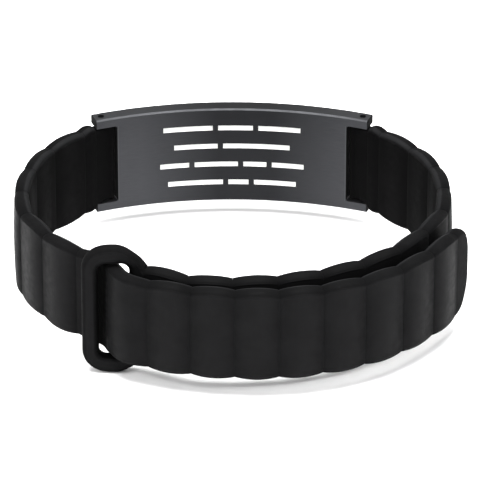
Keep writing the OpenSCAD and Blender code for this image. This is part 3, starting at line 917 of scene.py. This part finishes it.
# Bare margins of the engraved field, at the notches and the long edges
FIELD_ENDS, FIELD_EDGES = 0.4 * MM, 1.2 * MM
# The painted highlight along a notch's wall: its middle's distance, and half its width
NOTCH_HIGHLIGHT, HIGHLIGHT_HALF = 0.11 * MM, 0.07 * MM
# A point this near an end face or a notch's wall lies on it
ON_FACE = 0.03 * MM
# Paint begins at this share of the marks' depth
PAINT_TOP = 0.3
# A bevel lies between these shares of its size inside the plate's outline
BEVEL_IN, BEVEL_OUT = 1.02, 0.03
COAT_METAL = 0.82


def coated_steel(looks, plate):
    """Dark coated steel: fine drawn grain, rubbed bevels, paint in grooves, painted shade, a painted
    highlight.
    """
    n = Nodes("coated_steel")
    low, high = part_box("id_plate")
    split = n.tree.nodes.new("ShaderNodeSeparateXYZ")
    n.put(split.inputs[0], n.object)
    x, y, z = split.outputs
    x = n.math("SUBTRACT", x, (low.x + high.x) / 2)
    y = n.math("SUBTRACT", y, high.y - plate.radius - plate.wall)
    radius = n.math("SQRT", n.math("ADD", n.times(x, x), n.times(y, y)))
    side = n.math("ABSOLUTE", x)
    rise = n.apart(z, (low.z + high.z) / 2)

    skin_in = n.less(plate.radius + plate.mark_depth * PAINT_TOP, radius)
    skin_out = n.less(radius, plate.radius + plate.wall - plate.mark_depth * PAINT_TOP)
    in_field = n.less(side, plate.chord / 2 - plate.notch_depth - FIELD_ENDS)
    in_height = n.less(rise, plate.width / 2 - FIELD_EDGES)
    painted = n.times(skin_in, skin_out, in_field, in_height)

    near_edge = n.less(plate.width / 2 - plate.bevel * BEVEL_IN, rise)
    below_top = n.less(rise, plate.width / 2 - plate.bevel * BEVEL_OUT)
    mid_wall = n.apart(radius, plate.radius + plate.wall / 2)
    near_face = n.less(plate.wall / 2 - plate.bevel * BEVEL_IN, mid_wall)
    bevel = n.times(near_edge, below_top, near_face)

    grain = n.noise(600.0, 4.0, 0.6, stretch=(1.0, 1.0, 14.0))
    blast = n.noise(7000.0, 2.0, 0.6)
    cloud = n.noise(90.0, 3.0, 0.5)
    colour = n.mix(n.spread(grain, 0.3, 0.7), looks.steel_shade, looks.steel)
    colour = n.mix(n.times(n.spread(cloud, 0.4, 0.65), 0.3), colour, looks.steel)
    # Painted shade: the plate darkens towards a place a little off its middle
    from_dark = n.apart(x, plate.chord * 0.05)
    middle = n.spread(from_dark, plate.chord * 0.1, plate.chord * 0.38, 0.95, 0.0)
    colour = n.mix(middle, colour, looks.steel_middle_shade)
    worn = n.spread(n.noise(420.0, 4.0, 0.65), 0.32, 0.6, 0.45, 1.0)
    colour = n.mix(n.times(bevel, worn), colour, looks.steel_edge_wear_and_highlight)
    # along is 0 at the plate's end and the notch's depth at the notch's wall
    end_a = math.asin(plate.chord / 2 / (plate.radius + plate.wall / 2))
    along = n.math("SUBTRACT", n.times(y, math.sin(end_a)), n.times(side, math.cos(end_a)))
    beside_lug = n.less(rise, plate.width / 2 - plate.lug)
    from_wall = n.math("SUBTRACT", along, plate.notch_depth)
    # Painted highlight: a thin light line along each notch's wall beside the tongue
    at_notch_highlight = n.less(n.apart(from_wall, NOTCH_HIGHLIGHT), HIGHLIGHT_HALF)
    colour = n.mix(n.times(at_notch_highlight, beside_lug), colour, looks.steel_edge_wear_and_highlight)
    # Painted shade: the end faces and the notches' walls beside the tongues turn dark, dull and not
    # metallic
    at_wall = n.less(n.math("ABSOLUTE", from_wall), ON_FACE)
    at_end = n.less(along, ON_FACE)
    dull = n.math("MAXIMUM", at_end, n.times(at_wall, beside_lug))
    colour = n.mix(dull, colour, looks.steel_end_shade)
    paint = n.mix(n.spread(n.noise(1500.0, 3.0, 0.6), 0.3, 0.75), looks.paint, looks.paint_thin)
    colour = n.mix(painted, colour, paint)
    bare = n.math("SUBTRACT", 1.0, painted)
    metal = n.times(n.math("SUBTRACT", bare, dull), COAT_METAL)
    rough = n.spread(blast, 0.25, 0.75, looks.steel_rough - 0.05, looks.steel_rough + 0.07)
    rough = n.math("ADD", rough, n.times(painted, 0.2))
    rough = n.math("MAXIMUM", rough, dull)
    relief = n.bump(blast, 0.16, 0.02 * MM)
    relief = n.bump(grain, 0.1, 0.03 * MM, relief)
    n.give(Base_Color=colour, Metallic=metal, Roughness=rough, Normal=relief)
    n.give(IOR=1.5, Specular_IOR_Level=0.12)
    return n.material


def pin_steel(looks):
    """Plain drawn steel of the pins, with turning marks round them."""
    n = Nodes("pin_steel")
    rings = n.noise(500.0, 3.0, 0.6, stretch=(1.0, 1.0, 18.0))
    colour = n.mix(n.spread(rings, 0.35, 0.65), looks.pin, [v * 0.7 for v in looks.pin])
    rough = n.spread(rings, 0.3, 0.7, 0.28, 0.42)
    n.give(Base_Color=colour, Roughness=rough, Normal=n.bump(rings, 0.12, 0.02 * MM), Metallic=0.95)
    return n.material


def pale_floor(stage):
    """Smooth pale card with hardly any texture."""
    n = Nodes("pale_floor")
    soft = n.spread(n.noise(6.0, 2.0, 0.5), 0.3, 0.7)
    colour = n.mix(soft, stage.floor, [v * 0.985 for v in stage.floor])
    n.give(Base_Color=colour, Roughness=0.9, Specular_IOR_Level=0.1)
    return n.material


def wear(obj, material):
    """Puts one material in every slot of an object."""
    if not obj.data.materials:
        obj.data.materials.append(material)
    for item in obj.material_slots:
        item.material = material


def layout_now(context):
    """The layout for the sizes that the panel shows."""
    scene = context.scene
    return Layout(scene.bracelet_plate, scene.bracelet_strap, scene.bracelet_ring)


def silicone_now(context):
    """The straps' shared material, made once."""
    return bpy.data.materials.get("matt_silicone") or silicone(context.scene.bracelet_finish)


# Operators, panel and the run


class BRACELET_OT_long_strap(Operator):
    """Build the long ribbed strap that passes through the ring"""

    bl_idname = "bracelet.long_strap"
    bl_label = "Long strap"

    def execute(self, context):
        piece = long_strap_sheets(layout_now(context)).piece("ribbed_long_strap")
        wear(piece, silicone_now(context))
        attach(piece, "root")
        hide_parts("long_strap")
        return {"FINISHED"}


class BRACELET_OT_loop_strap(Operator):
    """Build the ribbed strap that ends in the slotted ring"""

    bl_idname = "bracelet.loop_strap"
    bl_label = "Loop strap"

    def execute(self, context):
        piece = loop_strap_sheets(layout_now(context)).piece("ribbed_loop_strap")
        wear(piece, silicone_now(context))
        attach(piece, "root")
        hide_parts("loop_strap")
        return {"FINISHED"}


class BRACELET_OT_plate_finish(Operator):
    """Give the plate its dark coat and its painted marks"""

    bl_idname = "bracelet.plate_finish"
    bl_label = "Plate finish"

    def execute(self, context):
        scene = context.scene
        wear(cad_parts["id_plate"], coated_steel(scene.bracelet_finish, scene.bracelet_plate))
        return {"FINISHED"}


class BRACELET_OT_pin_finish(Operator):
    """Give both pins their drawn steel"""

    bl_idname = "bracelet.pin_finish"
    bl_label = "Pin finish"

    def execute(self, context):
        steel = pin_steel(context.scene.bracelet_finish)
        for name in ("pin_left", "pin_right"):
            wear(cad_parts[name], steel)
        return {"FINISHED"}


# Half the floor's side, and its clear space under the part
FLOOR_HALF, FLOOR_DROP = 3.0, 0.02 * MM
SENSOR_MM = 36.0


def soft_light(name, place, target, size, power):
    """A white square area light at a place, turned to a target."""
    data = bpy.data.lights.new(name, "AREA")
    data.shape, data.size, data.energy = "SQUARE", size, power
    lamp = bpy.data.objects.new(name, data)
    lamp.location = place
    lamp.rotation_euler = (Vector(target) - Vector(place)).to_track_quat("-Z", "Y").to_euler()
    bpy.context.scene.collection.objects.link(lamp)


class BRACELET_OT_stage(Operator):
    """Build the pale floor, the soft lights and the camera"""

    bl_idname = "bracelet.stage"
    bl_label = "Stage"

    def execute(self, context):
        scene, stage = context.scene, context.scene.bracelet_stage
        low, high = CAD_BOX
        middle = (low + high) / 2
        mesh = bpy.data.meshes.new("floor")
        z, signs = low.z - FLOOR_DROP, ((-1, -1), (1, -1), (1, 1), (-1, 1))
        mesh.from_pydata([(x * FLOOR_HALF, y * FLOOR_HALF, z) for x, y in signs], [], [(0, 1, 2, 3)])
        floor = bpy.data.objects.new("floor", mesh)
        scene.collection.objects.link(floor)
        wear(floor, pale_floor(stage))

        world = bpy.data.worlds.new("studio")
        world.use_nodes = True
        background = world.node_tree.nodes["Background"]
        background.inputs["Color"].default_value = (*stage.world, 1.0)
        background.inputs["Strength"].default_value = stage.world_strength
        scene.world = world

        soft_light("key", (-0.85, -0.45, 0.6), middle, 0.55, stage.key_power)
        soft_light("fill", (0.85, -0.45, 0.6), middle, 0.55, stage.fill_power)
        soft_light("top", (0.0, -0.1, 1.0), middle, 0.8, stage.top_power)

        camera_data = bpy.data.cameras.new("camera")
        camera_data.lens, camera_data.sensor_width = stage.lens, SENSOR_MM
        camera_data.clip_start, camera_data.clip_end = 0.05, 20.0
        camera = bpy.data.objects.new("camera", camera_data)
        a, e = stage.azimuth, stage.elevation
        back = Vector((math.sin(a) * math.cos(e), -math.cos(a) * math.cos(e), math.sin(e)))
        camera.location = middle + back * stage.distance
        camera.rotation_euler = (-back).to_track_quat("-Z", "Y").to_euler()
        scene.collection.objects.link(camera)
        scene.camera = camera
        scene.view_settings.view_transform = "Standard"
        return {"FINISHED"}


OPERATORS = (
    BRACELET_OT_stage,
    BRACELET_OT_long_strap,
    BRACELET_OT_loop_strap,
    BRACELET_OT_plate_finish,
    BRACELET_OT_pin_finish,
)
GROUPS = {
    "bracelet_plate": PlateSizes,
    "bracelet_strap": StrapSizes,
    "bracelet_ring": RingSizes,
    "bracelet_finish": Finishes,
    "bracelet_stage": StageSettings,
}


class VIEW3D_PT_bracelet(Panel):
    """Sizes, finishes and the steps that build the bracelet"""

    bl_label = "Medical alert bracelet"
    bl_idname = "VIEW3D_PT_bracelet"
    bl_space_type = "VIEW_3D"
    bl_region_type = "UI"
    bl_category = "Bracelet"

    def draw(self, context):
        column = self.layout.column()
        for operator in OPERATORS:
            column.operator(operator.bl_idname)
        for name in GROUPS:
            box = self.layout.box()
            settings = getattr(context.scene, name)
            for key in settings.__annotations__:
                box.prop(settings, key)


CLASSES = (*GROUPS.values(), *OPERATORS, VIEW3D_PT_bracelet)


def register():
    for item in CLASSES:
        bpy.utils.register_class(item)
    for name, group in GROUPS.items():
        setattr(bpy.types.Scene, name, PointerProperty(type=group))


def unregister():
    for name in GROUPS:
        delattr(bpy.types.Scene, name)
    for item in reversed(CLASSES):
        bpy.utils.unregister_class(item)


def main():
    """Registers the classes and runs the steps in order."""
    register()
    bpy.ops.bracelet.stage()
    bpy.ops.bracelet.long_strap()
    bpy.ops.bracelet.loop_strap()
    bpy.ops.bracelet.plate_finish()
    bpy.ops.bracelet.pin_finish()


if __name__ == "__main__":
    main()
